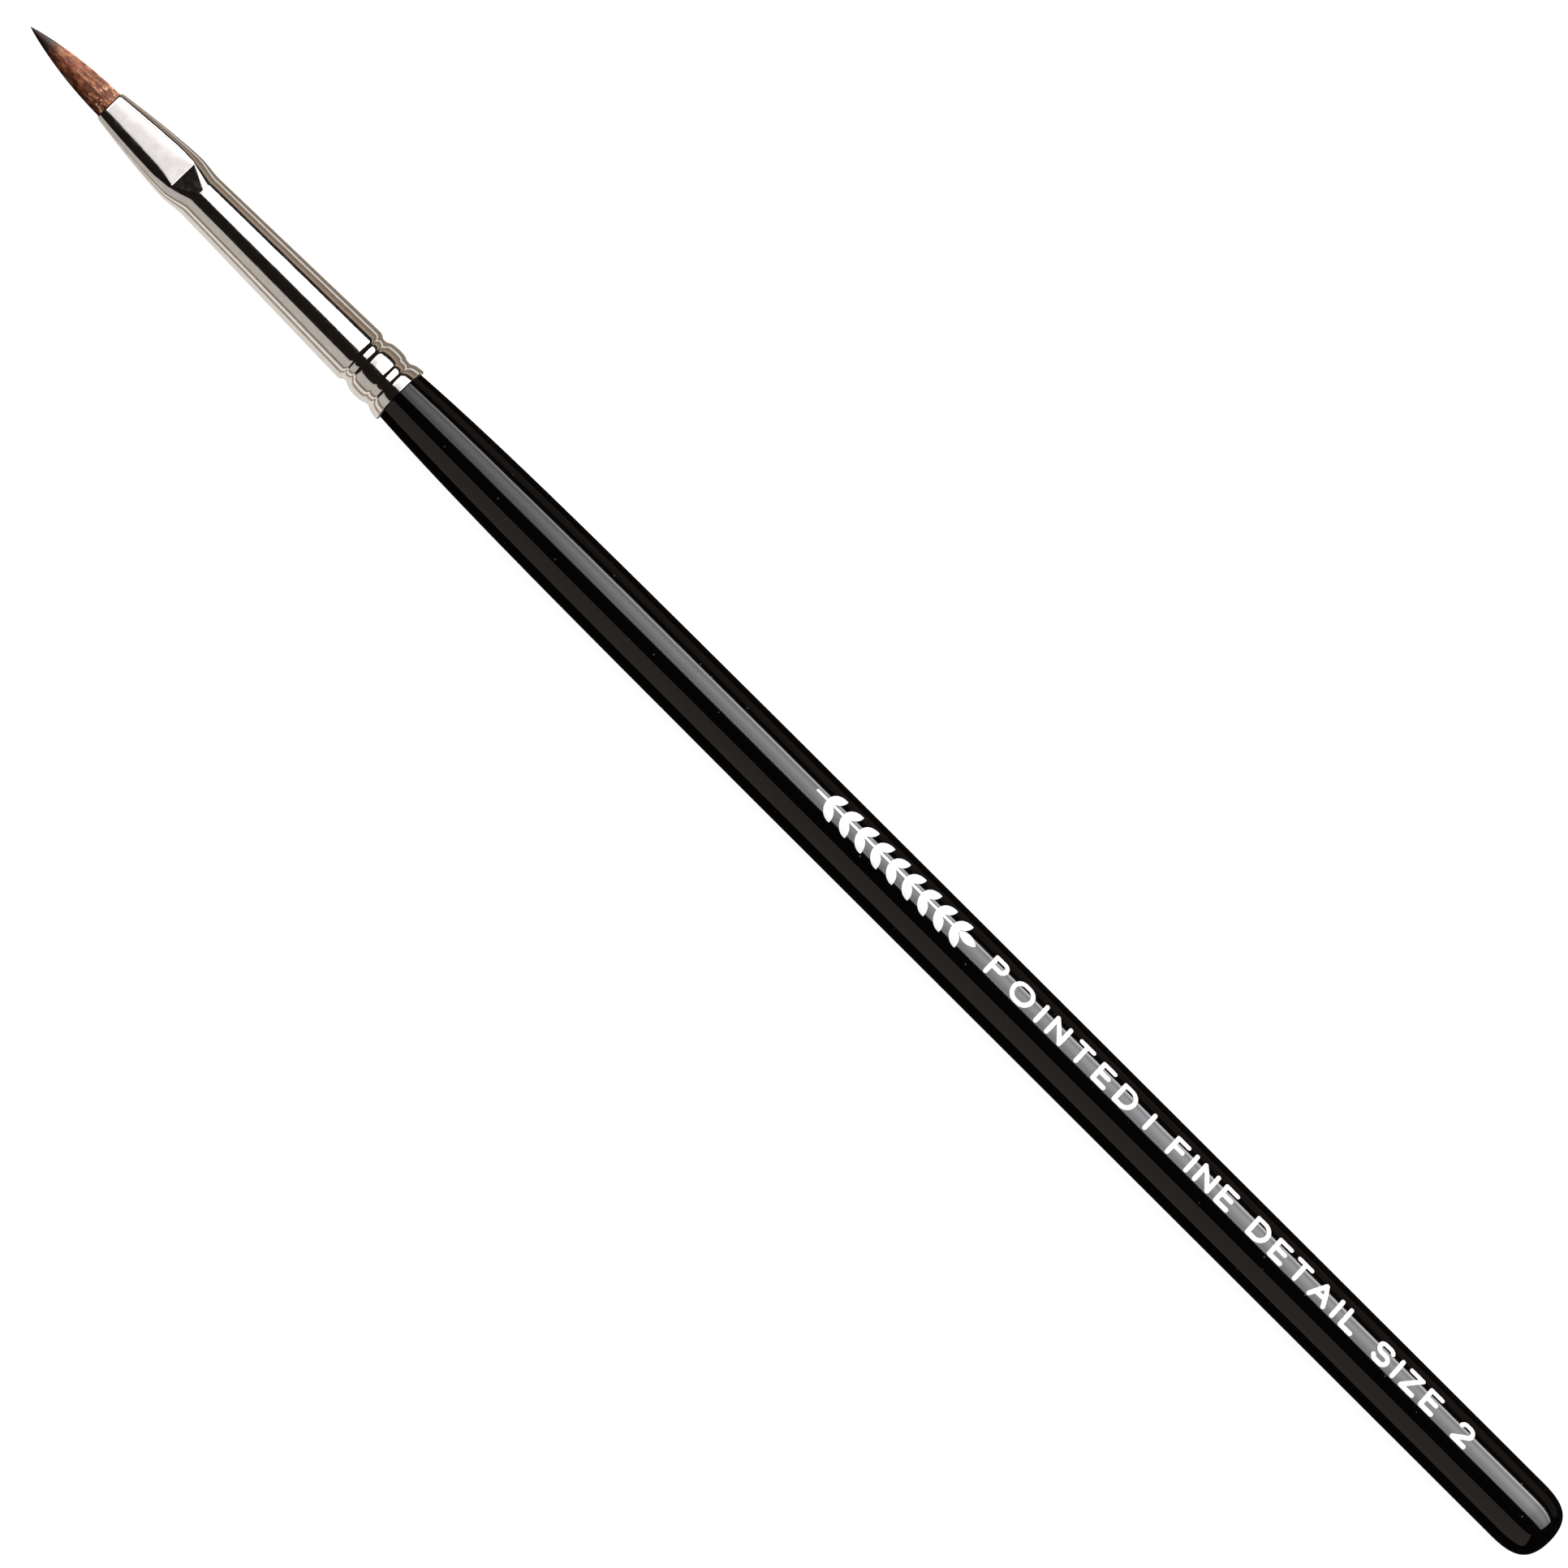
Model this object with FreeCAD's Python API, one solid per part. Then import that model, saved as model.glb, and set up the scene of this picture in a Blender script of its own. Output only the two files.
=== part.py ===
import FreeCAD, Part
import math
import os

from FreeCAD import Vector

# A fine detail brush lying on its handle. Millimetres, +Z up, the brush along X with the hair tip
# at -X. The origin is on the table, under the middle of the brush. Stations along the brush are
# given as distances from the hair tip.

# Whole brush
LENGTH = 165.0                  # hair tip to the end of the handle
HANDLE_RADIUS = 2.875           # lacquered handle, along its parallel length
AXIS_HEIGHT = HANDLE_RADIUS     # the handle rests on the table

# Ferrule: one drawn tube, pinched flat in front, crimped and flared behind
MOUTH_AT = 8.62                 # where the hair leaves the ferrule
FLAT_END = 16.48                # rear edge of the pinched flats
RAMP_END = 18.60                # where the pinched part has become round
LIP_END = 40.21                 # rear rim
WALL = 0.18
MOUTH_WIDTH = 2.75
MOUTH_THICKNESS = 1.25
MOUTH_FLAT = 0.90               # width of the flat face at the mouth
WIDEST = 4.32                   # width where the flats end
FLAT_THICKNESS = 2.30
FLAT_WIDTH = 2.50               # width of the flat face where it ends
TUBE_FRONT_RADIUS = 1.98
CONE_END = 35.72
CONE_END_RADIUS = 2.388
FLARE_SHAPE = 1.4               # how straight the sides of the pinched part are; 1 is straight

# Crimped end behind the cone: first groove, bead, second groove, flared lip, as (station, radius)
CRIMPS = [
    (CONE_END, CONE_END_RADIUS),
    (35.98, 2.300),
    (36.16, 2.175),
    (36.38, 2.145),
    (36.60, 2.175),
    (36.82, 2.290),
    (37.06, 2.385),
    (37.70, 2.450),
    (38.34, 2.405),
    (38.62, 2.290),
    (38.86, 2.250),
    (39.08, 2.275),
    (39.34, 2.410),
    (39.62, 2.490),
    (LIP_END, 2.575),
]

# Handle: wood with a bare tenon in the ferrule, under a gloss coat
TENON_FRONT = 26.60
TENON_FRONT_RADIUS = 1.930
TENON_RADIUS = 2.110            # where it leaves the cone and meets the handle
COAT = 0.12
COAT_REAR = 0.15                # a dipped handle carries a little more paint at its end
COAT_FRONT = 39.60              # the coat starts just inside the lip
NECK_RADIUS = 2.25              # coated handle at the rim of the ferrule
NECK_LENGTH = 9.4               # length over which the neck makes up two thirds of its swell
PARALLEL_FROM = 83.20
END_LENGTH = 3.4                # length of the rounded end
END_ROUNDNESS = (2.2, 0.95)     # how far the end stays flat, and how soon it joins the side

# Printed marks on the handle
PRINT_TILT = 14.0               # degrees from the top of the handle, towards +Y
PRINT_THICKNESS = 0.035
PRINT_LIFT = 0.004              # clear of the coat
CAP_HEIGHT = 1.50               # between the middles of the strokes
STROKE = 0.38
SPRIG_SPAN = (84.4, 101.4)
SPRIG_PAIRS = 9
LEAF_LENGTH = 1.75
SHAPE_SPAN = (103.2, 118.5)
BAR_AT = 120.3
USE_SPAN = (122.8, 154.8)

# Glue between the tenon and the ferrule
GLUE_SPAN = (26.9, 35.2)

# Hair inside the ferrule
ROOT_FRONT = 9.07
ROOT_WIDTH = 2.30
ROOT_THICKNESS = 0.80
ROOT_FLAT = 0.90
TIE_RADIUS = 0.85
TIE_START = 17.40
ROOT_END = 20.90
ROUND_FLAT = 0.06               # what a flat has shrunk to where a section has become round
THREAD_THICKNESS = 0.16
THREAD_GAP = 0.01
THREAD_TURNS = 5
THREAD_AT = 17.60
CEMENT_SPAN = (18.75, 21.60)

# Hair in front of the ferrule, in two lengths that bend on one another
TIP_JOINT_AT = 3.90
JOINT_GAP = 0.05
TUFT_SECTIONS = [               # (station, half width, half thickness)
    (0.00, 0.03, 0.02),
    (0.45, 0.14, 0.08),
    (1.30, 0.34, 0.17),
    (2.60, 0.58, 0.27),
    (TIP_JOINT_AT, 0.78, 0.34),
    (5.60, 0.97, 0.43),
    (7.30, 1.09, 0.45),
    (MOUTH_AT, 1.13, 0.37),
]


def place(station, across=0.0, up=0.0):
    """A point from its station, its offset across and its height above the axis."""
    return Vector(station - LENGTH / 2, across, AXIS_HEIGHT + up)


def line(start, end):
    return Part.LineSegment(start, end).toShape()


def arc(start, middle, end):
    return Part.Arc(start, middle, end).toShape()


def spline(points):
    curve = Part.BSplineCurve()
    curve.interpolate(points)
    return curve.toShape()


def spun(edges):
    """The solid of an outline of (station, radius) edges, closed along the axis and turned about it."""
    first = edges[0].Vertexes[0].Point
    last = edges[-1].Vertexes[-1].Point
    foot_first = Vector(first.x, 0, AXIS_HEIGHT)
    foot_last = Vector(last.x, 0, AXIS_HEIGHT)
    closing = []
    if last.distanceToPoint(foot_last) > 1e-6:
        closing.append(line(last, foot_last))
    closing.append(line(foot_last, foot_first))
    if first.distanceToPoint(foot_first) > 1e-6:
        closing.append(line(foot_first, first))
    face = Part.Face(Part.Wire(edges + closing))
    return face.revolve(Vector(0, 0, AXIS_HEIGHT), Vector(1, 0, 0), 360)


def flattened_section(station, width, thickness, flat):
    """A closed section: flat faces above and below, joined by half ellipses."""
    half_flat = flat / 2
    half_thickness = thickness / 2
    bulge = (width - flat) / 2
    edges = []
    for side in (1, -1):
        across, up = side * half_flat, side * half_thickness
        edges.append(line(place(station, across, up), place(station, -across, up)))
        edges.append(half_ellipse(station, -across, -side * bulge, up))
    return Part.Wire(edges)


def round_section(station, radius):
    """A circle in four arcs that match the edges of a flattened section; two of them are very short."""
    lean = math.asin(ROUND_FLAT / 2 / radius)
    turns = [-lean, lean, math.pi - lean, math.pi + lean, 2 * math.pi - lean]
    edges = []
    for begin, finish in zip(turns, turns[1:]):
        points = []
        for turn in (begin, (begin + finish) / 2, finish):
            points.append(place(station, -radius * math.sin(turn), radius * math.cos(turn)))
        edges.append(arc(*points))
    return Part.Wire(edges)


def half_ellipse(station, across, bulge, start_up):
    """From start_up above the axis to as far below it, bulging out by the signed bulge."""
    half_circle = arc(Vector(0, 0, 1), Vector(0, 1, 0), Vector(0, 0, -1))
    stretch = FreeCAD.Matrix()
    stretch.scale(1, bulge, start_up)
    stretch.move(place(station, across))
    return half_circle.transformGeometry(stretch)


def pinched_size(station):
    """Width, thickness and flat width of the ferrule's pinched front."""
    if station <= FLAT_END:
        ahead = (FLAT_END - station) / (FLAT_END - MOUTH_AT)
        width = WIDEST - (WIDEST - MOUTH_WIDTH) * ahead ** FLARE_SHAPE
        thickness = FLAT_THICKNESS - (FLAT_THICKNESS - MOUTH_THICKNESS) * ahead
        flat = FLAT_WIDTH - (FLAT_WIDTH - MOUTH_FLAT) * ahead
        return width, thickness, flat
    along = (station - FLAT_END) / (RAMP_END - FLAT_END)
    ease = along * along * (3 - 2 * along)
    width = WIDEST + (2 * TUBE_FRONT_RADIUS - WIDEST) * ease
    thickness = FLAT_THICKNESS + (2 * TUBE_FRONT_RADIUS - FLAT_THICKNESS) * along
    flat = FLAT_WIDTH * (1 - along)
    return width, thickness, flat


def ferrule_body(inset):
    """The ferrule's outside, or with an inset of one wall its inside, as a closed solid."""
    flat_stations = [MOUTH_AT + (FLAT_END - MOUTH_AT) * step / 6 for step in range(7)]
    ramp_stations = [FLAT_END + (RAMP_END - FLAT_END) * step / 4 for step in range(1, 4)]
    sections = []
    for station in flat_stations + ramp_stations:
        width, thickness, flat = pinched_size(station)
        sections.append(flattened_section(station, width - 2 * inset, thickness - 2 * inset, flat))
    sections.append(round_section(RAMP_END, TUBE_FRONT_RADIUS - inset))
    front = Part.makeLoft(sections, True, True)
    tube = line(place(RAMP_END, 0, TUBE_FRONT_RADIUS - inset), place(CONE_END, 0, CONE_END_RADIUS - inset))
    crimps = spline([place(station, 0, radius - inset) for station, radius in CRIMPS])
    return front.fuse(spun([tube, crimps]))


def ferrule():
    return ferrule_body(0).cut(ferrule_body(WALL))


def handle_outline(front_inset, rear_inset):
    """The handle's outline from the front of its coat to the middle of its end, less an inset."""
    neck = []
    for step in range(13):
        station = COAT_FRONT + (PARALLEL_FROM - COAT_FRONT) * (step / 12) ** 1.5
        shrink = (HANDLE_RADIUS - NECK_RADIUS) * math.exp((LIP_END - station) / NECK_LENGTH)
        neck.append(place(station, 0, HANDLE_RADIUS - shrink - front_inset))
    neck[-1] = place(PARALLEL_FROM, 0, HANDLE_RADIUS - front_inset)
    side_end = place(LENGTH - END_LENGTH, 0, HANDLE_RADIUS - rear_inset)
    stays_flat, joins_side = END_ROUNDNESS
    round_end = Part.BezierCurve()
    round_end.setPoles([
        side_end,
        place(LENGTH - rear_inset - joins_side, 0, HANDLE_RADIUS - rear_inset),
        place(LENGTH - rear_inset, 0, stays_flat),
        place(LENGTH - rear_inset),
    ])
    return [spline(neck), line(neck[-1], side_end), round_end.toShape()]


def handle_core(ferrule_shape):
    """The wooden handle; the crimps press their grooves into its tenon."""
    outline = handle_outline(COAT, COAT_REAR)
    tenon = [
        line(place(TENON_FRONT, 0, TENON_FRONT_RADIUS), place(CONE_END, 0, TENON_RADIUS)),
        line(place(CONE_END, 0, TENON_RADIUS), outline[0].Vertexes[0].Point),
    ]
    return spun(tenon + outline).cut(ferrule_shape)


def handle_lacquer():
    return spun(handle_outline(0, 0)).cut(spun(handle_outline(COAT, COAT_REAR)))


def bore_radius(station):
    """The ferrule's inside radius, along its cone."""
    along = (station - RAMP_END) / (CONE_END - RAMP_END)
    return TUBE_FRONT_RADIUS + (CONE_END_RADIUS - TUBE_FRONT_RADIUS) * along - WALL


def tenon_radius(station):
    along = (station - TENON_FRONT) / (CONE_END - TENON_FRONT)
    return TENON_FRONT_RADIUS + (TENON_RADIUS - TENON_FRONT_RADIUS) * along


def cone(span, radius_at):
    """A solid cone over a span of stations, with the radius that a function gives at its ends."""
    front, rear = span
    return spun([line(place(front, 0, radius_at(front)), place(rear, 0, radius_at(rear)))])


def tenon_glue():
    """The film of glue between the tenon and the conical bore."""
    return cone(GLUE_SPAN, bore_radius).cut(cone(GLUE_SPAN, tenon_radius))


def hair_root_bundle():
    """The hair inside the ferrule: flat behind the mouth, gathered round where it is tied."""
    sections = [
        flattened_section(ROOT_FRONT, ROOT_WIDTH, ROOT_THICKNESS, ROOT_FLAT),
        round_section(TIE_START, TIE_RADIUS),
        round_section(ROOT_END, TIE_RADIUS),
    ]
    return Part.makeLoft(sections, True, True)


def binding_thread():
    """Close turns of thread round the gathered hair, as one sleeve with a ridge for each turn."""
    inner = TIE_RADIUS + THREAD_GAP
    middle = inner + THREAD_THICKNESS / 2
    outer = inner + THREAD_THICKNESS
    ridges = []
    for turn in range(THREAD_TURNS):
        start = THREAD_AT + turn * THREAD_THICKNESS
        crest = place(start + THREAD_THICKNESS / 2, 0, outer)
        ridges.append(arc(place(start, 0, middle), crest, place(start + THREAD_THICKNESS, 0, middle)))
    bore = line(place(THREAD_AT, 0, inner), place(THREAD_AT + THREAD_TURNS * THREAD_THICKNESS, 0, inner))
    return spun(ridges).cut(spun([bore]))


def root_cement(root_shape):
    """The plug of cement that holds the roots in the ferrule."""
    return cone(CEMENT_SPAN, bore_radius).cut(root_shape)


def joint_knuckle(station, half_width, half_thickness):
    """An ellipsoid round about the bending axis, so that it turns inside its own outline."""
    half_circle = arc(Vector(0, 1, 0), Vector(1, 0, 0), Vector(0, -1, 0))
    stretch = FreeCAD.Matrix()
    stretch.scale(half_thickness, half_width, 1)
    stretch.move(place(station))
    rim = half_circle.transformGeometry(stretch)
    axle = line(place(station, -half_width), place(station, half_width))
    return Part.Face(Part.Wire([rim, axle])).revolve(place(station), Vector(0, 1, 0), 360)


def knuckle_sections(station, half_width, half_thickness):
    """Oval sections that round off a length of hair about its bending axis."""
    sections = []
    for degrees in (25, 45, 62, 76, 86):
        turn = math.radians(degrees)
        reach = half_thickness * math.sin(turn)
        sections.append((station + reach, half_width * math.cos(turn), half_thickness * math.cos(turn)))
    return sections


def hair_length(sections):
    """A solid through oval sections of (station, half width, half thickness)."""
    wires = []
    for station, half_width, half_thickness in sections:
        across = place(station, half_width)
        up = place(station, 0, half_thickness)
        wires.append(Part.Wire(Part.Ellipse(across, up, place(station)).toShape()))
    return Part.makeLoft(wires, True, True)


def tuft_belly():
    sections = [size for size in TUFT_SECTIONS if size[0] >= TIP_JOINT_AT]
    station, half_width, half_thickness = sections[0]
    clearance = joint_knuckle(station, half_width + JOINT_GAP, half_thickness + JOINT_GAP)
    return hair_length(sections + knuckle_sections(*sections[-1])).cut(clearance)


def tuft_tip():
    sections = [size for size in TUFT_SECTIONS if size[0] <= TIP_JOINT_AT]
    return hair_length(sections + knuckle_sections(*sections[-1]))


def around(centre, radius, degrees):
    turn = math.radians(degrees)
    return Vector(centre[0] + radius * math.cos(turn), centre[1] + radius * math.sin(turn), 0)


def bow(centre, radius, start, end):
    """An arc stroke about a centre, from a start angle to an end angle."""
    return arc(around(centre, radius, start), around(centre, radius, (start + end) / 2),
               around(centre, radius, end))


def stem(x1, y1, x2, y2):
    """A straight stroke."""
    return line(Vector(x1, y1, 0), Vector(x2, y2, 0))


# Plain wide capitals, each a width and its strokes, for a cap height of 1
LETTERS = {
    "A": (1.00, [stem(0, 0, 0.5, 1), stem(0.5, 1, 1, 0), stem(0.17, 0.34, 0.83, 0.34)]),
    "D": (0.95, [stem(0, 0, 0, 1), stem(0, 1, 0.45, 1), bow((0.45, 0.5), 0.5, 90, -90),
                 stem(0.45, 0, 0, 0)]),
    "E": (0.75, [stem(0, 0, 0, 1), stem(0, 1, 0.75, 1), stem(0, 0.5, 0.66, 0.5), stem(0, 0, 0.75, 0)]),
    "F": (0.72, [stem(0, 0, 0, 1), stem(0, 1, 0.72, 1), stem(0, 0.5, 0.63, 0.5)]),
    "I": (0.00, [stem(0, 0, 0, 1)]),
    "L": (0.70, [stem(0, 0, 0, 1), stem(0, 0, 0.7, 0)]),
    "N": (0.90, [stem(0, 0, 0, 1), stem(0, 1, 0.9, 0), stem(0.9, 0, 0.9, 1)]),
    "O": (1.20, [bow((0.5, 0.5), 0.5, 90, 270), stem(0.5, 0, 0.7, 0), bow((0.7, 0.5), 0.5, 270, 450),
                 stem(0.7, 1, 0.5, 1)]),
    "P": (0.82, [stem(0, 0, 0, 1), stem(0, 1, 0.55, 1), bow((0.55, 0.73), 0.27, 90, -90),
                 stem(0.55, 0.46, 0, 0.46)]),
    "S": (0.86, [bow((0.6, 0.75), 0.25, 30, 90), stem(0.6, 1, 0.26, 1), bow((0.26, 0.75), 0.25, 90, 270),
                 stem(0.26, 0.5, 0.6, 0.5), bow((0.6, 0.25), 0.25, 90, -90), stem(0.6, 0, 0.26, 0),
                 bow((0.26, 0.25), 0.25, 270, 210)]),
    "T": (0.86, [stem(0, 1, 0.86, 1), stem(0.43, 1, 0.43, 0)]),
    "Z": (0.80, [stem(0, 1, 0.8, 1), stem(0.8, 1, 0, 0), stem(0, 0, 0.8, 0)]),
    "2": (0.80, [bow((0.29, 0.71), 0.29, 165, 90), stem(0.29, 1, 0.5, 1), bow((0.5, 0.71), 0.29, 90, -40),
                 stem(0.722, 0.524, 0, 0), stem(0, 0, 0.8, 0)]),
    " ": (0.30, []),
}


def stroke_face(edge, width):
    """The flat face that a round pen of this width leaves along one straight or arc edge."""
    half = width / 2
    first, last = edge.FirstParameter, edge.LastParameter
    left, right = [], []
    for at in (first, (first + last) / 2, last):
        heading = edge.tangentAt(at)
        sideways = Vector(-heading.y, heading.x, 0) * half
        left.append(edge.valueAt(at) + sideways)
        right.insert(0, edge.valueAt(at) - sideways)
    straight = isinstance(edge.Curve, Part.Line)
    sides = [line(side[0], side[2]) if straight else arc(*side) for side in (left, right)]
    nose = arc(left[2], edge.valueAt(last) + edge.tangentAt(last) * half, right[0])
    tail = arc(right[2], edge.valueAt(first) - edge.tangentAt(first) * half, left[0])
    return Part.Face(Part.Wire([sides[0], nose, sides[1], tail]))


def wrapped_on_handle(faces, shell, start):
    """Flat faces laid on the handle from a station on, pressed into its curve and joined."""
    blocks = [face.extrude(Vector(0, 0, 2 * HANDLE_RADIUS)) for face in faces]
    ink = blocks[0].multiFuse(blocks[1:]) if len(blocks) > 1 else blocks[0]
    ink.translate(Vector(start - LENGTH / 2, -CAP_HEIGHT / 2, AXIS_HEIGHT))
    ink.rotate(Vector(0, 0, AXIS_HEIGHT), Vector(1, 0, 0), -PRINT_TILT)
    return ink.common(shell).removeSplitter().Solids


def lettering(words, span, shell):
    """Words spaced evenly so that they fill a span of the handle."""
    natural = sum(LETTERS[letter][0] for letter in words) * CAP_HEIGHT
    tracking = (span[1] - span[0] - natural) / (len(words) - 1)
    solids = []
    pen_at = span[0]
    for letter in words:
        width, strokes = LETTERS[letter]
        faces = []
        for stroke in strokes:
            drawn = stroke.copy()
            drawn.scale(CAP_HEIGHT)
            faces.append(stroke_face(drawn, STROKE))
        if faces:
            solids += wrapped_on_handle(faces, shell, pen_at)
        pen_at += width * CAP_HEIGHT + tracking
    return solids


def leaf(root, length, degrees):
    """A pointed leaf growing from a root point at an angle."""
    tip = root + around((0, 0), length, degrees)
    middle = (root + tip) / 2
    sideways = around((0, 0), 0.23 * length, degrees + 90)
    return Part.Face(Part.Wire([arc(root, middle + sideways, tip), arc(tip, middle - sideways, root)]))


def sprig(shell):
    """A plain sprig of leaves on a straight stem."""
    start, end = SPRIG_SPAN
    length = end - start
    middle = CAP_HEIGHT / 2
    stem_end = length - LEAF_LENGTH
    faces = [stroke_face(stem(0, middle, stem_end, middle), 0.6 * STROKE)]
    faces.append(leaf(Vector(stem_end, middle, 0), LEAF_LENGTH, 0))
    for pair in range(SPRIG_PAIRS):
        root = Vector(stem_end * (pair + 0.6) / SPRIG_PAIRS, middle, 0)
        faces.append(leaf(root, LEAF_LENGTH, 42))
        faces.append(leaf(root, LEAF_LENGTH, -42))
    return wrapped_on_handle(faces, shell, start)


def handle_print():
    """The white marks on the handle: a sprig, a shape word, a bar, and the use and size."""
    inner = HANDLE_RADIUS + PRINT_LIFT
    span = SPRIG_SPAN[0] - 1, USE_SPAN[1] + 1
    length = span[1] - span[0]
    shell = Part.makeCylinder(inner + PRINT_THICKNESS, length, place(span[0]), Vector(1, 0, 0))
    shell = shell.cut(Part.makeCylinder(inner, length, place(span[0]), Vector(1, 0, 0)))
    bar = stroke_face(stem(0, 0.06 * CAP_HEIGHT, 0, 0.94 * CAP_HEIGHT), STROKE)
    solids = sprig(shell)
    solids += lettering("POINTED", SHAPE_SPAN, shell)
    solids += wrapped_on_handle([bar], shell, BAR_AT)
    solids += lettering("FINE DETAIL SIZE 2", USE_SPAN, shell)
    return Part.makeCompound(solids)


def main():
    os.makedirs("parts", exist_ok=True)
    ferrule_shape = ferrule()
    root_shape = hair_root_bundle()
    parts = {
        "ferrule": ferrule_shape,
        "handle_core": handle_core(ferrule_shape),
        "handle_lacquer": handle_lacquer(),
        "handle_print": handle_print(),
        "tenon_glue": tenon_glue(),
        "hair_root_bundle": root_shape,
        "binding_thread": binding_thread(),
        "root_cement": root_cement(root_shape),
        "tuft_belly": tuft_belly(),
        "tuft_tip": tuft_tip(),
    }
    for name, shape in parts.items():
        shape.exportStep(f"parts/{name}.step")
        box = shape.optimalBoundingBox()
        print(f"{name}: valid {shape.isValid()}, solids {len(shape.Solids)}, "
              f"volume {shape.Volume:.3f} mm3, "
              f"x {box.XMin:.2f} to {box.XMax:.2f}, y {box.YMin:.2f} to {box.YMax:.2f}, "
              f"z {box.ZMin:.2f} to {box.ZMax:.2f}")


main()
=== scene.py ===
import bpy
import math
import random

import numpy as np
from mathutils import Matrix, Vector


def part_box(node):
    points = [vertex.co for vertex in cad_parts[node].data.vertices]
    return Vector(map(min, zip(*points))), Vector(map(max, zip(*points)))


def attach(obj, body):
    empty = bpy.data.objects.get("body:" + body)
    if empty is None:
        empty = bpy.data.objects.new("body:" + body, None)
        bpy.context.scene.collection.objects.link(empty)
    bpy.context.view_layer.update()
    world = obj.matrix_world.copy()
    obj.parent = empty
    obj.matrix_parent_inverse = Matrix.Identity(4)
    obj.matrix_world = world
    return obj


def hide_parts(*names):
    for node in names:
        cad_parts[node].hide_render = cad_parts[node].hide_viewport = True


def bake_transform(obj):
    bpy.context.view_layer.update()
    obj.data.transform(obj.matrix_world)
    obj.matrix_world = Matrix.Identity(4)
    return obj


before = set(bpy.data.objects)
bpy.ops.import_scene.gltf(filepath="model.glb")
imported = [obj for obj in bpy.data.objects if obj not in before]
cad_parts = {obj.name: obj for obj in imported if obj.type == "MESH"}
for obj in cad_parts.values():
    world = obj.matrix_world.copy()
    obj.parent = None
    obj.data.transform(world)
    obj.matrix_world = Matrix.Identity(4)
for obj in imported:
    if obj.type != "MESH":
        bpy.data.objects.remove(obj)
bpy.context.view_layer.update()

# A fine detail brush lying on a pale table. Stations are millimetres from the hair tip, as in the
# design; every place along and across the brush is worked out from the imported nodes' boxes.

MM = 0.001
FERRULE_LOW, FERRULE_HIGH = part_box("ferrule")
COAT_LOW, COAT_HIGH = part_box("handle_lacquer")
TIP_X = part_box("tuft_tip")[0][0]
AXIS_Z = (COAT_LOW[2] + COAT_HIGH[2]) / 2
LENGTH = (COAT_HIGH[0] - TIP_X) / MM
MOUTH_AT = (FERRULE_LOW[0] - TIP_X) / MM
LIP_END = (FERRULE_HIGH[0] - TIP_X) / MM
HANDLE_RADIUS = (COAT_HIGH[2] - COAT_LOW[2]) / 2 / MM

# Ferrule
FLAT_END = 16.48
RAMP_END = 18.60
WALL = 0.18
MOUTH_WIDTH = 2.75
MOUTH_THICKNESS = 1.25
MOUTH_FLAT = 0.90
WIDEST = 4.32
FLAT_THICKNESS = 2.30
FLAT_WIDTH = 2.50
FLARE_SHAPE = 1.4               # how the pinched width grows to the rear; 1 is even
TUBE_FRONT_RADIUS = 1.98
CRIMPS = [
    (35.72, 2.388),
    (35.98, 2.300),
    (36.16, 2.175),
    (36.38, 2.145),
    (36.60, 2.175),
    (36.82, 2.290),
    (37.06, 2.385),
    (37.70, 2.450),
    (38.34, 2.405),
    (38.62, 2.290),
    (38.86, 2.250),
    (39.08, 2.275),
    (39.34, 2.410),
    (39.62, 2.490),
    (LIP_END, 2.575),
]
FLAT_ROUNDING = 0.30            # how softly the flats run into the rounded sides
REAR_ROUNDING = 0.08            # the same at the rear end of the flats
EDGE_RUN = 1.8                  # length over which these edges sharpen
MOUTH_BURNISH = 0.32            # length over which the mouth's edge is rounded off
FERRULE_SEGMENTS = 240
QUARTER = np.radians(np.linspace(0, 90, 181))   # directions over a quarter of a section

# Handle coat
COAT = 0.12
COAT_REAR = 0.15
COAT_FRONT = 39.60
NECK_RADIUS = 2.25
NECK_LENGTH = 9.4
PARALLEL_FROM = 83.20
NECK_SETTLES = 0.25             # last share of the neck, over which it becomes quite parallel
END_LENGTH = 3.4
END_ROUNDNESS = (2.2, 0.95)     # radius to which the end stays flat, and how far it joins the side
COAT_SEGMENTS = 192

# Hair
HAIR_START = MOUTH_AT + 0.45    # the strands begin inside the mouth
HAIR_SPLIT = 5.60               # where the rear length of the strands ends and the front begins
TUFT_HALF_WIDTH = 1.20
TUFT_HALF_THICKNESS = 0.50
TUFT_SHAPE = 0.82               # 1 is a quarter sine wave, less is fuller
TUFT_FULLEST = 0.8              # where it is thickest, as a share of its length from the tip
TUFT_SQUEEZE = 0.14             # share of its thickness that the mouth takes away
STRANDS = 520
STRAND_RADIUS = 0.028
STRAND_POINT = 0.10             # radius of a strand's point, as a share of its own radius
STRAND_STEP = 0.28              # length between a strand's rings
STRAND_SIDES = 5
BODY_FROM = 0.35                # where the inner body of the tuft begins; its dark colour is painted shade between the strands
BODY_SIZE = 0.90                # and its size, as a share of the tuft's
BODY_SIDES = 48
TIP_JOINT_AT = 3.90
MOUTH_BLEND = (1.2, 1.6)        # how far behind and before the mouth the first bend would reach; the script works out these points but makes no bend
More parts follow.
